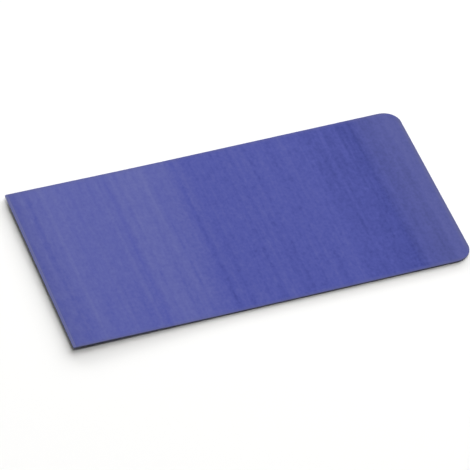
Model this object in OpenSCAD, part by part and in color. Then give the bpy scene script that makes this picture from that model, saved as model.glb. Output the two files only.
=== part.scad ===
// Hand squeegee for laying down sign vinyl, cut from one flexible sheet. It has a straight,
// square-cornered working edge at -X and a round-cornered grip end at +X. The grip half rests
// flat on the table (z = 0), then the sheet bends up a little and runs straight to the edge.

/* [Sheet] */
// Length from the working edge to the grip end, measured along the sheet
blade_l = 177.5; // [120:0.5:300]
// Width, which is also the length of the working edge
blade_w = 100; // [50:1:200]
// Thickness of the sheet
sheet_t = 0.7; // [0.6:0.05:2]
// Radius of the two corners at the grip end
grip_corner_r = 8; // [2:0.5:20]
// Radius of the two corners at the working edge
edge_corner_r = 0.6; // [0.3:0.1:2]

/* [Working edge] */
// Width of the ground strip on each face along the working edge
bevel_w = 1.2; // [0.4:0.1:4]
// Depth of that strip at the very edge
bevel_depth = 0.1; // [0.05:0.01:0.2]

/* [Upward set] */
// Length of the straight part behind the working edge
straight_l = 42; // [20:1:60]
// Length of the bend between the straight part and the flat grip half
bend_l = 40; // [20:1:60]
// Angle that the straight part makes with the table
set_angle = 0.7; // [0.5:0.1:4]

/* [Hidden] */
bend_x = straight_l + bend_l - blade_l / 2;   // x where the flat grip half begins
bend_r = bend_l / set_angle * 180 / PI;       // radius of the lower face in the bend
bend_fn = 7200;                               // flats in a full turn of that radius
clear = 10;                                   // how far a cutting shape runs past the sheet
joint = 0.01;                                 // how far the straight part runs into the bend
$fn = 96;

// Side view of the flat grip half
module grip_profile() {
    translate([bend_x, 0]) square([blade_l / 2 - bend_x, sheet_t]);
}

// Side view of the bend: a thin ring, kept only between its two ends
module bend_profile() {
    reach = 2 * bend_r;
    translate([bend_x, bend_r])
        intersection() {
            difference() {
                circle(bend_r, $fn = bend_fn);
                circle(bend_r - sheet_t, $fn = bend_fn);
            }
            polygon([[0, 0], [0, -reach], [-reach * sin(set_angle), -reach * cos(set_angle)]]);
        }
}

// Side view of the straight part, with both faces ground down to the working edge
module straight_profile() {
    translate([bend_x, bend_r])
        rotate(-set_angle)
            translate([-straight_l, -bend_r])
                polygon([
                    [straight_l + joint, 0],
                    [bevel_w, 0],
                    [0, bevel_depth],
                    [0, sheet_t - bevel_depth],
                    [bevel_w, sheet_t],
                    [straight_l + joint, sheet_t]
                ]);
}

// Carries a side view across the whole width, and a little past both sides
module across_width() {
    translate([0, blade_w / 2 + clear, 0])
        rotate([90, 0, 0])
            linear_extrude(blade_w + 2 * clear) children();
}

// Round corner of the plan, touching both sides that meet there
module plan_corner(x_side, y_side, r) {
    translate([x_side * (blade_l / 2 - r), y_side * (blade_w / 2 - r)]) circle(r);
}

// Plan view of the sheet
module plan() {
    union() {
        translate([edge_corner_r - blade_l / 2, -blade_w / 2])
            square([blade_l - edge_corner_r - grip_corner_r, blade_w]);
        translate([-blade_l / 2, edge_corner_r - blade_w / 2])
            square([2 * edge_corner_r, blade_w - 2 * edge_corner_r]);
        translate([blade_l / 2 - 2 * grip_corner_r, grip_corner_r - blade_w / 2])
            square([2 * grip_corner_r, blade_w - 2 * grip_corner_r]);
        for (side = [-1, 1]) {
            plan_corner(-1, side, edge_corner_r);
            plan_corner(1, side, grip_corner_r);
        }
    }
}

module blade() {
    color([0.33, 0.37, 0.65])
        intersection() {
            union() {
                across_width() grip_profile();
                across_width() bend_profile();
                across_width() straight_profile();
            }
            translate([0, 0, -clear]) linear_extrude(3 * clear) plan();
        }
}

blade();
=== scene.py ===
import math

import bmesh
import bpy
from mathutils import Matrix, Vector


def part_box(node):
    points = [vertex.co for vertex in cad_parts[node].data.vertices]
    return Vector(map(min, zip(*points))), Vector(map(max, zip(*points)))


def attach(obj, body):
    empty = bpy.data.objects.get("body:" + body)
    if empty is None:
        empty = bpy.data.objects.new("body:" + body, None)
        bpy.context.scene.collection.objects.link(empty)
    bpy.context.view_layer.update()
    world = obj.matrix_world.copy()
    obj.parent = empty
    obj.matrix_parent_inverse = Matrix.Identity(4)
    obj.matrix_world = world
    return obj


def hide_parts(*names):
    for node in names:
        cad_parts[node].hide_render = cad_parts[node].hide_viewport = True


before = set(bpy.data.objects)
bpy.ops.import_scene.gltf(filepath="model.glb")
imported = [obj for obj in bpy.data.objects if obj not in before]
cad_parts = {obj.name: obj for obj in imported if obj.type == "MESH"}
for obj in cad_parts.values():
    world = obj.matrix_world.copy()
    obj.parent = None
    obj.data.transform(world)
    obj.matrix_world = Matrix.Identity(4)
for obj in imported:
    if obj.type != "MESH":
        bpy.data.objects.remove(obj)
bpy.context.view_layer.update()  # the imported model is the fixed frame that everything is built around
LOW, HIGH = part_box("blade")

bl_info = {
    "name": "Hand Squeegee Blade",
    "version": (1, 0, 0),
    "blender": (4, 5, 0),
    "location": "3D Viewport > Sidebar > Squeegee",
    "description": "Builds a thin blue squeegee blade for sign vinyl, with its table and soft light",
    "category": "Add Mesh",
}

MM = 0.001

# How finely the mesh is cut
ROWS = 40                # faces across the blade, between the two outermost rows
SUPPORT = 0.15 * MM      # from the outline to the first row inside it
STRIP_STEP = 0.2 * MM    # between lines across the ground strip
COLUMN_STEP = 0.5 * MM   # between lines across the rest of the blade
EDGE_CORNER_CUTS = 5     # steps round each corner at the working edge
GRIP_CORNER_CUTS = 16    # steps round each corner at the grip end
ARRIS_CUTS = 4           # steps round the softened arris

# Material slots of the mesh, in order
FACE, CUT, GROUND = range(3)

# The room
TABLE_ALBEDO = 0.9
TABLE_REACH = 12.0            # from the middle of the table to each side
TABLE_DROP = 0.01 * MM        # how far the table lies below the blade
LAMP_DISTANCE = 9.0
SURROUND_COLOUR = (1, 0.95, 0.80, 1)
SURROUND_STRENGTH = 0.07


def sheet_thickness():
    """Thickness of the sheet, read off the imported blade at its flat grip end."""
    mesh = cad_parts["blade"].data
    return max(v.co.z for v in mesh.vertices if HIGH.x - v.co.x < MM)


# ------------------------------------------------------------------------------- settings


class BladeSize(bpy.types.PropertyGroup):
    """Sizes of the blade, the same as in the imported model."""

    length: bpy.props.FloatProperty(
        name="Length", description="Length along the sheet",
        default=177.5 * MM, unit="LENGTH")
    width: bpy.props.FloatProperty(
        name="Width", description="Length of the working edge",
        default=HIGH.y - LOW.y, unit="LENGTH")
    thickness: bpy.props.FloatProperty(
        name="Thickness", description="Thickness of the sheet",
        default=sheet_thickness(), unit="LENGTH")
    grip_corner: bpy.props.FloatProperty(
        name="Grip corners", description="Radius of the corners at the grip end",
        default=8 * MM, unit="LENGTH")
    edge_corner: bpy.props.FloatProperty(
        name="Edge corners", description="Radius of the corners at the working edge",
        default=0.6 * MM, unit="LENGTH")
    bevel_width: bpy.props.FloatProperty(
        name="Ground strip", description="Width of the ground strip along the working edge",
        default=1.2 * MM, unit="LENGTH")
    bevel_depth: bpy.props.FloatProperty(
        name="Ground depth", description="How far the strip is ground down at the very edge",
        default=0.1 * MM, unit="LENGTH")
    straight: bpy.props.FloatProperty(
        name="Straight part", description="Straight length behind the working edge",
        default=42 * MM, unit="LENGTH")
    bend: bpy.props.FloatProperty(
        name="Bend", description="Length of the bend between the straight part and the grip",
        default=40 * MM, unit="LENGTH")
    arris: bpy.props.FloatProperty(
        name="Arris", description="Radius of the softened arris round both faces",
        default=0.1 * MM, unit="LENGTH")


class BladeFinish(bpy.types.PropertyGroup):
    """Colours and surface of the sheet. The face and ground-strip blues are lifted by a neutral painted
    sheen, which stands in for the reflection that the low gloss leaves out.
    """

    deep: bpy.props.FloatVectorProperty(
        name="Deep blue", description="Colour where the face is least rubbed",
        default=(0.024, 0.036, 0.236), subtype="COLOR", min=0, max=1)
    clean: bpy.props.FloatVectorProperty(
        name="Clean blue", description="Colour of the clean sheet",
        default=(0.053, 0.066, 0.323), subtype="COLOR", min=0, max=1)
    # The palest blue: partly rubbing haze and partly painted sheen, the whitish reflection put into the
    # colour
    haze_and_sheen: bpy.props.FloatVectorProperty(
        name="Haze and sheen", description="Colour where the face is rubbed pale",
        default=(0.120, 0.133, 0.358), subtype="COLOR", min=0, max=1)
    worn: bpy.props.FloatVectorProperty(
        name="Worn", description="Greyer colour where the face is handled and worn",
        default=(0.088, 0.096, 0.226), subtype="COLOR", min=0, max=1)
    cut: bpy.props.FloatVectorProperty(
        name="Cut edge", description="Colour of the sheared edges",
        default=(0.19, 0.20, 0.29), subtype="COLOR", min=0, max=1)
    # The ground strip is paler partly from sanding and partly as a painted highlight along the working
    # edge
    ground: bpy.props.FloatVectorProperty(
        name="Ground strip", description="Colour of the strip ground along the working edge",
        default=(0.126, 0.136, 0.30), subtype="COLOR", min=0, max=1)
    roughness: bpy.props.FloatProperty(
        name="Roughness", description="About the average roughness of the face",
        default=0.50, subtype="FACTOR", min=0, max=1)
    # The gloss is kept low; the sheen it would give is painted into the blues above as painted sheen
    gloss: bpy.props.FloatProperty(
        name="Gloss", description="Specular level of the faces and the edges",
        default=0.03, subtype="FACTOR", min=0, max=1)
    streaks: bpy.props.FloatProperty(
        name="Streaks", description="Strength of the lines parallel to the working edge",
        default=1.0, subtype="FACTOR", min=0, max=1)
    # lean paints the far side paler and the near side less pale: painted light, standing in for the
    # stronger light from the lamps behind the blade
    lean: bpy.props.FloatProperty(
        name="Lean", description="How much paler the far side is rubbed than the middle",
        default=0.10, subtype="FACTOR", min=0, max=1)
    mottle: bpy.props.FloatProperty(
        name="Mottle", description="Strength of the small patches between the lines",
        default=0.75, subtype="FACTOR", min=0, max=1)


class Studio(bpy.types.PropertyGroup):
    """Camera and light."""

    azimuth: bpy.props.FloatProperty(
        name="Azimuth", description="Camera angle round the blade, 0 looks along +Y",
        default=math.radians(-18.5), subtype="ANGLE")
    elevation: bpy.props.FloatProperty(
        name="Elevation", description="Camera angle above the table",
        default=math.radians(42.4), subtype="ANGLE")
    distance: bpy.props.FloatProperty(
        name="Distance", description="From the camera to the middle of the blade",
        default=2.2106, unit="LENGTH")
    lens: bpy.props.FloatProperty(
        name="Lens", description="Focal length in millimetres", default=398.0)
    aside: bpy.props.FloatProperty(
        name="Aside", description="How far right of the blade's middle the camera aims",
        default=-1.39 * MM, unit="LENGTH")
    above: bpy.props.FloatProperty(
        name="Above", description="How far above the blade's middle the camera aims",
        default=-3.10 * MM, unit="LENGTH")
    light: bpy.props.FloatProperty(
        name="Light", description="Strength of all the lamps together", default=1.19)


# ------------------------------------------------------------------------------- node tools


def add_node(tree, kind, **values):
    """Adds a node. Plain names set its properties, and a name with in_ sets that input."""
    node = tree.nodes.new(kind)
    for name, value in values.items():
        if name.startswith("in_"):
            node.inputs[name.removeprefix("in_")].default_value = value
        else:
            setattr(node, name, value)
    return node


def math_node(tree, operation, a, b=None, clamp=False):
    """A Math node whose inputs are numbers or sockets. Gives its output."""
    node = add_node(tree, "ShaderNodeMath", operation=operation, use_clamp=clamp)
    for socket, value in zip(node.inputs, (a, b)):
        if isinstance(value, bpy.types.NodeSocket):
            tree.links.new(value, socket)
        elif value is not None:
            socket.default_value = value
    return node.outputs[0]


def swing(tree, value, weight, middle):
    """A socket that swings about a middle number: value times weight, plus the middle."""
    socket = math_node(tree, "MULTIPLY_ADD", value, weight)
    socket.node.inputs[2].default_value = middle
    return socket


def weighted(tree, value, weight):
    """A socket times a number or another socket."""
    return math_node(tree, "MULTIPLY", value, weight)


def added(tree, *values):
    """The sum of sockets and numbers, of which the first is a socket."""
    total = values[0]
    for value in values[1:]:
        total = math_node(tree, "ADD", total, value)
    return total


def new_group(name, inputs, outputs):
    """A shader node group with named sockets. Gives the group, its input and its output node."""
    group = bpy.data.node_groups.new(name, "ShaderNodeTree")
    for label, kind, default in inputs:
        socket = group.interface.new_socket(label, in_out="INPUT", socket_type=kind)
        if default is not None:
            socket.default_value = default
    for label, kind in outputs:
        group.interface.new_socket(label, in_out="OUTPUT", socket_type=kind)
    return group, group.nodes.new("NodeGroupInput"), group.nodes.new("NodeGroupOutput")


def fill_ramp(ramp, stops, interpolation="LINEAR"):
    """Gives a colour ramp its stops, each a position and three values."""
    ramp.color_ramp.interpolation = interpolation
    elements = ramp.color_ramp.elements
    while len(elements) < len(stops):
        elements.new(0.5)
    for element, (position, values) in zip(elements, stops):
        element.position = position
        element.color = (*values, 1)


def place_group(tree, group, vector, **values):
    """Places a group in a material, sets its inputs by name and gives its node."""
    node = add_node(tree, "ShaderNodeGroup", node_tree=group)
    tree.links.new(vector, node.inputs["Vector"])
    for name, value in values.items():
        node.inputs[name].default_value = value
    return node


# ------------------------------------------------------------------------------- node groups


def streak_group():
    """Noise drawn out across the blade: spacing along it, run across it. Puts out about -1 to 1."""
    middle, spread = 0.5, 4.0
    group, given, put = new_group(
        "Drawn streaks",
        [("Vector", "NodeSocketVector", None), ("Spacing", "NodeSocketFloat", 2 * MM),
         ("Run", "NodeSocketFloat", 60 * MM), ("Seed", "NodeSocketFloat", 0.0)],
        [("Value", "NodeSocketFloat")])
    link = group.links.new
    split = add_node(group, "ShaderNodeSeparateXYZ")
    link(given.outputs["Vector"], split.inputs[0])
    join = add_node(group, "ShaderNodeCombineXYZ")
    link(math_node(group, "DIVIDE", split.outputs["X"], given.outputs["Spacing"]), join.inputs["X"])
    link(math_node(group, "DIVIDE", split.outputs["Y"], given.outputs["Run"]), join.inputs["Y"])
    link(given.outputs["Seed"], join.inputs["Z"])
    noise = add_node(group, "ShaderNodeTexNoise", in_Scale=1.0, in_Detail=2.0, in_Roughness=0.5)
    link(join.outputs[0], noise.inputs["Vector"])
    centred = math_node(group, "SUBTRACT", noise.outputs[0], middle)
    link(weighted(group, centred, spread), put.inputs["Value"])
    return group


def rub_and_sheen_group(length, stops):
    """Three values that follow the blade from the working edge to the grip end."""
    group, given, put = new_group(
        "Rub and painted sheen along the blade",
        [("Vector", "NodeSocketVector", None)],
        [("Pale and sheen", "NodeSocketFloat"), ("Dull", "NodeSocketFloat"), ("Blotched", "NodeSocketFloat")])
    link = group.links.new
    split = add_node(group, "ShaderNodeSeparateXYZ")
    link(given.outputs["Vector"], split.inputs[0])
    along = math_node(group, "SUBTRACT", split.outputs["X"], LOW.x)
    # The first value, paleness, is painted sheen and light as well as rubbing haze
    ramp = add_node(group, "ShaderNodeValToRGB")
    fill_ramp(ramp, [(place * MM / length, values) for place, *values in stops], "EASE")
    link(math_node(group, "DIVIDE", along, length), ramp.inputs["Fac"])
    channels = add_node(group, "ShaderNodeSeparateColor")
    link(ramp.outputs["Color"], channels.inputs[0])
    for i in range(3):
        link(channels.outputs[i], put.inputs[i])
    return group


def edge_group(size):
    """How close a point of the face is to the outline: 1 on it, 0 at the given reach inside."""
    group, given, put = new_group(
        "Edge reach",
        [("Vector", "NodeSocketVector", None), ("Reach", "NodeSocketFloat", 2 * MM)],
        [("Value", "NodeSocketFloat")])
    link = group.links.new
    split = add_node(group, "ShaderNodeSeparateXYZ")
    link(given.outputs["Vector"], split.inputs[0])
    from_sides = math_node(group, "ABSOLUTE", split.outputs["Y"])
    from_ends = math_node(group, "ABSOLUTE", split.outputs["X"])
    across = math_node(group, "SUBTRACT", size.width / 2, from_sides)
    along = math_node(group, "SUBTRACT", size.length / 2, from_ends)
    near = math_node(group, "MINIMUM", across, along)
    share = math_node(group, "DIVIDE", near, given.outputs["Reach"])
    link(math_node(group, "SUBTRACT", 1.0, share, clamp=True), put.inputs["Value"])
    return group


# ------------------------------------------------------------------------------- materials

# How the face is rubbed along the blade, with painted sheen and light mixed in: millimetres from the
# working edge, then how pale it is (rubbing haze together with painted sheen, palest over the straight
# part that tilts towards the lamps), how dull and how blotched it is there
RUB_AND_SHEEN = [
    (0, 0.44, 0.25, 0.2), (3, 0.37, 0.22, 1.0), (8, 0.40, 0.12, 1.0), (13, 0.57, 0.05, 0.3),
    (24, 0.50, 0.00, 0.2), (44, 0.46, 0.00, 0.2), (51, 0.60, 0.00, 0.3), (57, 0.56, 0.00, 0.2),
    (66, 0.44, 0.00, 0.1), (76, 0.24, 0.00, 0.3), (100, 0.21, 0.00, 0.3), (128, 0.22, 0.00, 0.2),
    (136, 0.11, 0.00, 0.2), (147, 0.08, 0.00, 0.2), (154, 0.00, 0.00, 0.3), (157, 0.01, 0.10, 0.3),
    (160, 0.05, 0.20, 0.2), (168, 0.13, 0.30, 0.2), (177, 0.24, 0.40, 0.2),
]

# Layers of the face's pattern: spacing along the blade and run across it in millimetres, seed,
# and how strongly it turns the face pale. The grain has only its roughness and its height.
LINES = (3.4, 240, 3, 0.15)
FINE_LINES = (1.4, 90, 13, 0.035)
BROKEN_LINES = (1.8, 4, 7, 0.11)
MOTTLE = (1.2, 1.6, 9, 0.12)
PATCHES = (7, 16, 11, 0.07)
BLOTCHES = (4, 7, 5, 0.18)
GRAIN = (0.25, 0.35, 1)

# The rim of the face, where the sheet was cut
RIM_REACH = 2.0 * MM
RIM_PALE = 0.06
RIM_DULL = 0.55

# How the paleness picks the face's colour. It may go this far below zero before it clips, and the
# clean blue lies at this place between the deep blue and the haze.
PALE_FLOOR = 0.15
CLEAN_PLACE = 0.3

# How the pattern changes the face's brightness and roughness
SHADE_SWING = 0.02
PALE_ROUGHENS = 0.10
GRAIN_ROUGHENS = 0.02
USUAL_PALE_ROUGHENS = 0.04   # taken off again, so that the setting stays about the average

# Heights in the face's bump, beside 1 for the broken lines
LINES_HEIGHT = 0.6
GRAIN_HEIGHT = 0.25


def new_material(name):
    """A material with a Principled shader, and the object's own coordinates."""
    material = bpy.data.materials.new(name)
    material.use_nodes = True
    tree = material.node_tree
    tree.nodes.clear()
    shader = add_node(tree, "ShaderNodeBsdfPrincipled")
    out = add_node(tree, "ShaderNodeOutputMaterial")
    tree.links.new(shader.outputs["BSDF"], out.inputs["Surface"])
    place = add_node(tree, "ShaderNodeTexCoord").outputs["Object"]
    return material, tree, shader, place


def mix_colours(tree, factor, first, second):
    """Mixes two colours by a socket. Each colour is three values or a socket."""
    mix = add_node(tree, "ShaderNodeMix", data_type="RGBA")
    tree.links.new(factor, mix.inputs["Factor"])
    for socket, colour in ((mix.inputs[6], first), (mix.inputs[7], second)):
        if isinstance(colour, bpy.types.NodeSocket):
            tree.links.new(colour, socket)
        else:
            socket.default_value = (*colour, 1)
    return mix.outputs[2]


def add_bump(tree, shader, height, depth, strength):
    """Gives a shader a bump of a certain depth from a height socket."""
    bump = add_node(tree, "ShaderNodeBump", in_Strength=strength, in_Distance=depth)
    tree.links.new(height, bump.inputs["Height"])
    tree.links.new(bump.outputs["Normal"], shader.inputs["Normal"])


def face_material(finish, streaks, rub_sheen, edge):
    """The satin blue face, with drawn lines, mottle and the pale bands, which are rubbing haze with
    painted sheen and light mixed in.
    """
    material, tree, shader, place = new_material("satin_blue_face")
    link = tree.links.new

    def layer(values):
        """The streaks of one layer."""
        spacing, run, seed = values[:3]
        node = place_group(tree, streaks, place, Spacing=spacing * MM, Run=run * MM, Seed=seed)
        return node.outputs["Value"]

    def paleness(socket, values, strength):
        """What one layer adds to how pale the face is."""
        return weighted(tree, socket, values[3] * strength)

    rubbed = place_group(tree, rub_sheen, place)
    rim = place_group(tree, edge, place, Reach=RIM_REACH).outputs["Value"]
    lines, fine, broken = layer(LINES), layer(FINE_LINES), layer(BROKEN_LINES)
    mottle, patches, grain = layer(MOTTLE), layer(PATCHES), layer(GRAIN)
    blotches = weighted(tree, layer(BLOTCHES), rubbed.outputs["Blotched"])

    split = add_node(tree, "ShaderNodeSeparateXYZ")
    link(place, split.inputs[0])
    # Painted light: the paleness grows towards the far side, where the lamps behind the blade shine
    # more strongly
    lean = added(tree, weighted(tree, split.outputs["Y"], finish.lean / HIGH.y), 1.0)
    # The paleness below carries the painted sheen and light of the pale bands as well as the streaks
    # and mottle
    pale = added(
        tree,
        weighted(tree, rubbed.outputs["Pale and sheen"], lean),
        paleness(lines, LINES, finish.streaks),
        paleness(fine, FINE_LINES, finish.streaks),
        paleness(broken, BROKEN_LINES, finish.mottle),
        paleness(mottle, MOTTLE, finish.mottle),
        paleness(patches, PATCHES, finish.mottle),
        paleness(blotches, BLOTCHES, finish.mottle),
        weighted(tree, rim, RIM_PALE))

    tint = add_node(tree, "ShaderNodeValToRGB")
    fill_ramp(tint, [(0.0, finish.deep), (CLEAN_PLACE, finish.clean), (1.0, finish.haze_and_sheen)])
    link(weighted(tree, added(tree, pale, PALE_FLOOR), 1 / (1 + PALE_FLOOR)), tint.inputs["Fac"])
    dull = math_node(
        tree, "ADD", rubbed.outputs["Dull"], weighted(tree, rim, RIM_DULL), clamp=True)
    shade = add_node(tree, "ShaderNodeHueSaturation")
    link(mix_colours(tree, dull, tint.outputs["Color"], finish.worn), shade.inputs["Color"])
    uneven = added(tree, broken, mottle)
    bright = added(tree, weighted(tree, uneven, SHADE_SWING * finish.mottle), 1.0)
    link(bright, shade.inputs["Value"])
    link(shade.outputs["Color"], shader.inputs["Base Color"])

    shader.inputs["Specular IOR Level"].default_value = finish.gloss
    rough = added(
        tree,
        weighted(tree, pale, PALE_ROUGHENS),
        weighted(tree, grain, GRAIN_ROUGHENS),
        finish.roughness - USUAL_PALE_ROUGHENS)
    link(rough, shader.inputs["Roughness"])
    height = added(
        tree, weighted(tree, lines, LINES_HEIGHT), broken, weighted(tree, grain, GRAIN_HEIGHT))
    add_bump(tree, shader, height, depth=0.004 * MM, strength=0.3)
    return material


def cut_material(finish, streaks):
    """The sheared edge: greyer than the face, with fine marks down the cut."""
    material, tree, shader, place = new_material("sheared_edge")
    marks = place_group(tree, streaks, place, Spacing=0.3 * MM, Run=0.3 * MM).outputs["Value"]
    colour = mix_colours(tree, swing(tree, marks, 0.15, middle=0.3), finish.cut, finish.ground)
    tree.links.new(colour, shader.inputs["Base Color"])
    shader.inputs["Specular IOR Level"].default_value = finish.gloss
    tree.links.new(swing(tree, marks, 0.08, middle=0.6), shader.inputs["Roughness"])
    add_bump(tree, shader, marks, depth=0.01 * MM, strength=0.4)
    return material


def ground_material(finish, streaks):
    """The strip ground along the working edge: paler and duller, with grinding lines; its paleness is
    partly sanding and partly a painted highlight along the edge.
    """
    material, tree, shader, place = new_material("ground_strip")
    lines = place_group(
        tree, streaks, place, Spacing=0.25 * MM, Run=20 * MM, Seed=5.0).outputs["Value"]
    colour = mix_colours(tree, swing(tree, lines, 0.25, middle=0.5), finish.haze_and_sheen, finish.ground)
    tree.links.new(colour, shader.inputs["Base Color"])
    shader.inputs["Specular IOR Level"].default_value = finish.gloss
    tree.links.new(swing(tree, lines, 0.06, middle=0.58), shader.inputs["Roughness"])
    add_bump(tree, shader, lines, depth=0.01 * MM, strength=0.3)
    return material


# ------------------------------------------------------------------------------- blade mesh


class BladeShape:
    """Turns a place on the flat sheet into a point of the set blade.

    along runs from the working edge to the grip end, across from side to side, and height from
    the lower face to the upper one.
    """

    # Faint swells across the sheet: wave length, depth and phase in turns
    SWELLS = [
        (23 * MM, 0.010 * MM, 0.10), (9.4 * MM, 0.006 * MM, 0.35),
        (5.3 * MM, 0.005 * MM, 0.80), (3.7 * MM, 0.003 * MM, 0.55),
    ]
    # How the swells wander sideways: by how many turns, over what length, and how unlike each other
    DRIFT, DRIFT_LENGTH, DRIFT_SPREAD = 0.15, 31 * MM, 9
    LOWER_SHIFT = 11 * MM  # how far the lower face's swells lie from the upper one's

    def __init__(self, size):
        self.size = size
        reach = size.straight + size.bend / 2 - size.bevel_width
        self.angle = (HIGH.z - size.thickness) / reach
        self.radius = size.bend / self.angle

    def half_width(self, along, inset):
        """Half the width of the outline, moved inwards by inset, at a place along the sheet."""
        size = self.size
        half = size.width / 2 - inset
        for corner, end in ((size.edge_corner, along), (size.grip_corner, size.length - along)):
            short = corner - end
            if short > 0:
                radius = corner - inset
                half = size.width / 2 - corner + math.sqrt(max(radius * radius - short * short, 0))
        return half

    def swell(self, along, across):
        """Depth of the faint swells below the nominal face."""
        total = 0.0
        for wave, depth, phase in self.SWELLS:
            drift = self.DRIFT * math.sin(across / self.DRIFT_LENGTH + self.DRIFT_SPREAD * phase)
            total += depth * (0.5 + 0.5 * math.sin(2 * math.pi * (along / wave + phase + drift)))
        return total

    def ground(self, along):
        """How far the face is ground down near the working edge."""
        size = self.size
        return size.bevel_depth * max(0.0, 1 - max(along, 0.0) / size.bevel_width)

    def top(self, along, across):
        """Height of the upper face."""
        return self.size.thickness - self.ground(along) - self.swell(along, across)

    def bottom(self, along, across):
        """Height of the lower face."""
        return self.ground(along) + self.swell(along + self.LOWER_SHIFT, across)

    def point(self, along, across, height):
        """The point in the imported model's frame."""
        size = self.size
        flat_from = size.straight + size.bend
        if along >= flat_from:
            return Vector((HIGH.x - size.length + along, across, height))
        turn = min((flat_from - along) / self.radius, self.angle)
        extra = max(size.straight - along, 0.0)
        arm = self.radius - height
        x = HIGH.x - size.length + flat_from - arm * math.sin(turn) - extra * math.cos(turn)
        return Vector((x, across, self.radius - arm * math.cos(turn) + extra * math.sin(turn)))


def spaced(start, end, step):
    """Evenly spaced places from start to end, both included, about a step apart."""
    count = max(1, round((end - start) / step))
    return [start + (end - start) * i / count for i in range(count + 1)]


def places_along(size):
    """Where the mesh has a line across the blade, from the working edge to the grip end."""
    inset = size.arris
    edge_radius = size.edge_corner - inset
    grip_radius = size.grip_corner - inset
    edge_turn = [math.pi / 2 * i / EDGE_CORNER_CUTS for i in range(EDGE_CORNER_CUTS + 1)]
    grip_turn = [math.pi / 2 * i / GRIP_CORNER_CUTS for i in range(GRIP_CORNER_CUTS + 1)]
    places = [inset + edge_radius * (1 - math.cos(a)) for a in edge_turn]
    places += spaced(size.edge_corner, size.bevel_width, STRIP_STEP)[1:]
    places += spaced(size.bevel_width, size.straight, COLUMN_STEP)[1:]
    places += spaced(size.straight, size.length - size.grip_corner, COLUMN_STEP)[1:]
    places += [size.length - size.grip_corner + grip_radius * math.sin(a) for a in grip_turn[1:]]
    return places


def blade_mesh(size):
    """The whole blade as one closed mesh: two swelled faces and the softened, sheared rim."""
    shape = BladeShape(size)
    mesh = bmesh.new()
    inset = size.arris
    columns = places_along(size)
    shares = [-1 + 2 * j / ROWS for j in range(ROWS + 1)]

    def line_across(along):
        """Places from side to side on one line across the blade."""
        half = shape.half_width(along, inset)
        return [-half] + [share * (half - SUPPORT) for share in shares] + [half]

    def face_grid(height):
        """The points of one face, line by line."""
        return [[mesh.verts.new(shape.point(along, y, height(along, y))) for y in line_across(along)]
                for along in columns]

    def skin(grid):
        """The faces between the points, with the ground strip in its own slot."""
        for i in range(len(grid) - 1):
            for j in range(len(grid[0]) - 1):
                quad = (grid[i][j], grid[i + 1][j], grid[i + 1][j + 1], grid[i][j + 1])
                face = mesh.faces.new(quad)
                face.material_index = GROUND if i < ground_columns else FACE

    def around(grid):
        """The grid's outer loop, starting at the working edge's near corner."""
        last = len(grid[0]) - 1
        loop = [grid[i][0] for i in range(len(grid))]
        loop += [grid[-1][j] for j in range(1, last)]
        loop += [grid[i][last] for i in reversed(range(len(grid)))]
        loop += [grid[0][j] for j in reversed(range(1, last))]
        return loop

    def outline():
        """Flat places of the same loop, each with the direction out of the sheet."""
        corners = ((size.edge_corner, size.edge_corner, -1),
                   (size.grip_corner, size.length - size.grip_corner, 1))
        placed = []
        for along, y in around([[(along, y) for y in line_across(along)] for along in columns]):
            out = Vector((0, math.copysign(1, y)))
            for radius, centre, end in corners:
                past = end * (along - centre)
                if past > 0:
                    side = math.copysign(max(abs(y) - (size.width / 2 - radius), 0), y)
                    out = Vector((end * past, side)).normalized()
            placed.append((along, y, out))
        return placed

    ground_columns = sum(1 for along in columns if along < size.bevel_width)
    upper, lower = face_grid(shape.top), face_grid(shape.bottom)
    skin(upper)
    skin(lower)
    rings = [around(upper)]
    edge = outline()
    turns = [math.pi / 2 * k / ARRIS_CUTS for k in range(1, ARRIS_CUTS + 1)]
    for upper_side, turn in [(True, a) for a in turns] + [(False, a) for a in reversed(turns)]:
        ring = []
        for along, y, out in edge:
            reach = inset * math.sin(turn)
            drop = inset * (1 - math.cos(turn))
            place, side = along + out.x * reach, y + out.y * reach
            face = shape.top(along, y) - drop if upper_side else shape.bottom(along, y) + drop
            ring.append(mesh.verts.new(shape.point(place, side, face)))
        rings.append(ring)
    rings.append(around(lower))
    for first, second in zip(rings, rings[1:]):
        for i in range(len(first)):
            j = (i + 1) % len(first)
            mesh.faces.new((first[i], first[j], second[j], second[i])).material_index = CUT
    bmesh.ops.recalc_face_normals(mesh, faces=mesh.faces)
    for face in mesh.faces:
        face.smooth = True
    data = bpy.data.meshes.new("squeegee_blade")
    mesh.to_mesh(data)
    mesh.free()
    return data


# ------------------------------------------------------------------------------- operators


class SQUEEGEE_OT_blade(bpy.types.Operator):
    """Build the blade and give it its finish"""

    bl_idname = "squeegee.blade"
    bl_label = "Build Blade"

    def execute(self, context):
        size, finish = context.scene.squeegee_size, context.scene.squeegee_finish
        data = blade_mesh(size)
        streaks, rub_sheen, edge = streak_group(), rub_and_sheen_group(size.length, RUB_AND_SHEEN), edge_group(size)
        data.materials.append(face_material(finish, streaks, rub_sheen, edge))
        data.materials.append(cut_material(finish, streaks))
        data.materials.append(ground_material(finish, streaks))
        blade = bpy.data.objects.new("squeegee_blade", data)
        context.scene.collection.objects.link(blade)
        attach(blade, "root")
        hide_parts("blade")
        return {"FINISHED"}


class SQUEEGEE_OT_studio(bpy.types.Operator):
    """Lay the pale table and set the soft lights and the camera"""

    bl_idname = "squeegee.studio"
    bl_label = "Set Up Studio"

    def execute(self, context):
        studio = context.scene.squeegee_studio
        lay_floor(context)
        hang_lamps(context, studio)
        set_world(context)
        set_camera(context, studio)
        context.scene.view_settings.view_transform = "Standard"
        return {"FINISHED"}


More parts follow.
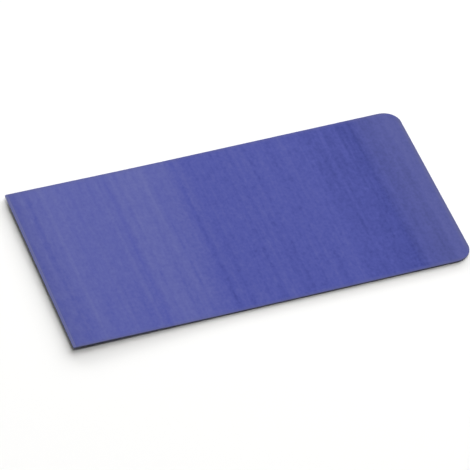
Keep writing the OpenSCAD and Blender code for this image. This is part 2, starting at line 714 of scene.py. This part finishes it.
def lay_floor(context):
    """A wide pale table top, a hair below the blade."""
    signs = ((-1, -1), (1, -1), (1, 1), (-1, 1))
    corners = [(x * TABLE_REACH, y * TABLE_REACH, -TABLE_DROP) for x, y in signs]
    data = bpy.data.meshes.new("table_top")
    data.from_pydata(corners, [], [(0, 1, 2, 3)])
    material, _tree, shader, _place = new_material("pale_table")
    shader.inputs["Base Color"].default_value = (TABLE_ALBEDO, TABLE_ALBEDO, TABLE_ALBEDO, 1)
    shader.inputs["Roughness"].default_value = 0.9
    data.materials.append(material)
    floor = bpy.data.objects.new("table_top", data)
    context.scene.collection.objects.link(floor)


# Soft lamps: name, compass angle from +X and how wide it reaches, lowest and highest elevation,
# and the share of a white table's brightness that it gives
LAMPS = [
    ("low_strip", 75, 80, 4, 8, 0.15),
    ("side_strip", 55, 80, 7, 13, 0.20),
    ("back_softbox", 50, 70, 13, 30, 0.38),
    ("top_softbox", 20, 50, 42, 80, 0.26),
]


def hang_lamps(context, studio):
    """Hangs each soft lamp behind and to the right of the blade, facing it."""
    distance = LAMP_DISTANCE
    for name, compass, reach, low, high, share in LAMPS:
        turn = math.radians(compass)
        middle = math.radians((low + high) / 2)
        half = math.radians((high - low) / 2)
        level = Vector((math.cos(turn), math.sin(turn), 0))
        towards = level * math.cos(middle) + Vector((0, 0, math.sin(middle)))
        data = bpy.data.lights.new(name, "AREA")
        data.shape = "RECTANGLE"
        data.size = 2 * distance * math.cos(middle) * math.tan(math.radians(reach / 2))
        data.size_y = 2 * distance * math.tan(half)
        # The table's brightness is albedo / pi times power * sin(elevation) / (pi * distance squared)
        power = share * (math.pi * distance) ** 2 / (TABLE_ALBEDO * math.sin(middle))
        data.energy = studio.light * power
        lamp = bpy.data.objects.new(name, data)
        lamp.location = towards * distance
        lamp.rotation_mode = "QUATERNION"
        lamp.rotation_quaternion = towards.to_track_quat("Z", "Y")
        lamp.visible_camera = False
        context.scene.collection.objects.link(lamp)


def set_world(context):
    """A dim, slightly warm surround that shows as plain white behind the table."""
    world = bpy.data.worlds.new("studio")
    world.use_nodes = True
    tree = world.node_tree
    tree.nodes.clear()
    dim = add_node(
        tree, "ShaderNodeBackground", in_Color=SURROUND_COLOUR, in_Strength=SURROUND_STRENGTH)
    white = add_node(tree, "ShaderNodeBackground", in_Color=(1, 1, 1, 1), in_Strength=1.0)
    path = add_node(tree, "ShaderNodeLightPath")
    mix = add_node(tree, "ShaderNodeMixShader")
    out = add_node(tree, "ShaderNodeOutputWorld")
    tree.links.new(path.outputs["Is Camera Ray"], mix.inputs["Fac"])
    tree.links.new(dim.outputs[0], mix.inputs[1])
    tree.links.new(white.outputs[0], mix.inputs[2])
    tree.links.new(mix.outputs[0], out.inputs["Surface"])
    context.scene.world = world


def set_camera(context, studio):
    """A long lens, looking down on the blade from the front left."""
    a, e = studio.azimuth, studio.elevation
    back = Vector((math.sin(a) * math.cos(e), -math.cos(a) * math.cos(e), math.sin(e)))
    right = Vector((math.cos(a), math.sin(a), 0))
    up = back.cross(right)
    data = bpy.data.cameras.new("camera")
    data.lens = studio.lens
    data.clip_start, data.clip_end = 0.1, 100
    camera = bpy.data.objects.new("camera", data)
    camera.location = right * studio.aside + up * studio.above + back * studio.distance
    camera.rotation_mode = "QUATERNION"
    camera.rotation_quaternion = back.to_track_quat("Z", "Y")
    context.scene.collection.objects.link(camera)
    context.scene.camera = camera


class SQUEEGEE_PT_panel(bpy.types.Panel):
    """Sizes, finish and studio, with a button for each step"""

    bl_idname = "SQUEEGEE_PT_panel"
    bl_label = "Squeegee Blade"
    bl_space_type = "VIEW_3D"
    bl_region_type = "UI"
    bl_category = "Squeegee"

    def draw(self, context):
        layout = self.layout
        scene = context.scene
        for group in (scene.squeegee_size, scene.squeegee_finish, scene.squeegee_studio):
            box = layout.box()
            for name in group.__annotations__:
                box.prop(group, name)
        for operator in (SQUEEGEE_OT_blade, SQUEEGEE_OT_studio):
            layout.operator(operator.bl_idname)


CLASSES = (BladeSize, BladeFinish, Studio, SQUEEGEE_OT_blade, SQUEEGEE_OT_studio, SQUEEGEE_PT_panel)


def register():
    for cls in CLASSES:
        bpy.utils.register_class(cls)
    bpy.types.Scene.squeegee_size = bpy.props.PointerProperty(type=BladeSize)
    bpy.types.Scene.squeegee_finish = bpy.props.PointerProperty(type=BladeFinish)
    bpy.types.Scene.squeegee_studio = bpy.props.PointerProperty(type=Studio)


def unregister():
    del bpy.types.Scene.squeegee_studio
    del bpy.types.Scene.squeegee_finish
    del bpy.types.Scene.squeegee_size
    for cls in reversed(CLASSES):
        bpy.utils.unregister_class(cls)


def main():
    """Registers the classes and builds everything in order."""
    register()
    bpy.ops.squeegee.blade()
    bpy.ops.squeegee.studio()


if __name__ == "__main__":
    main()
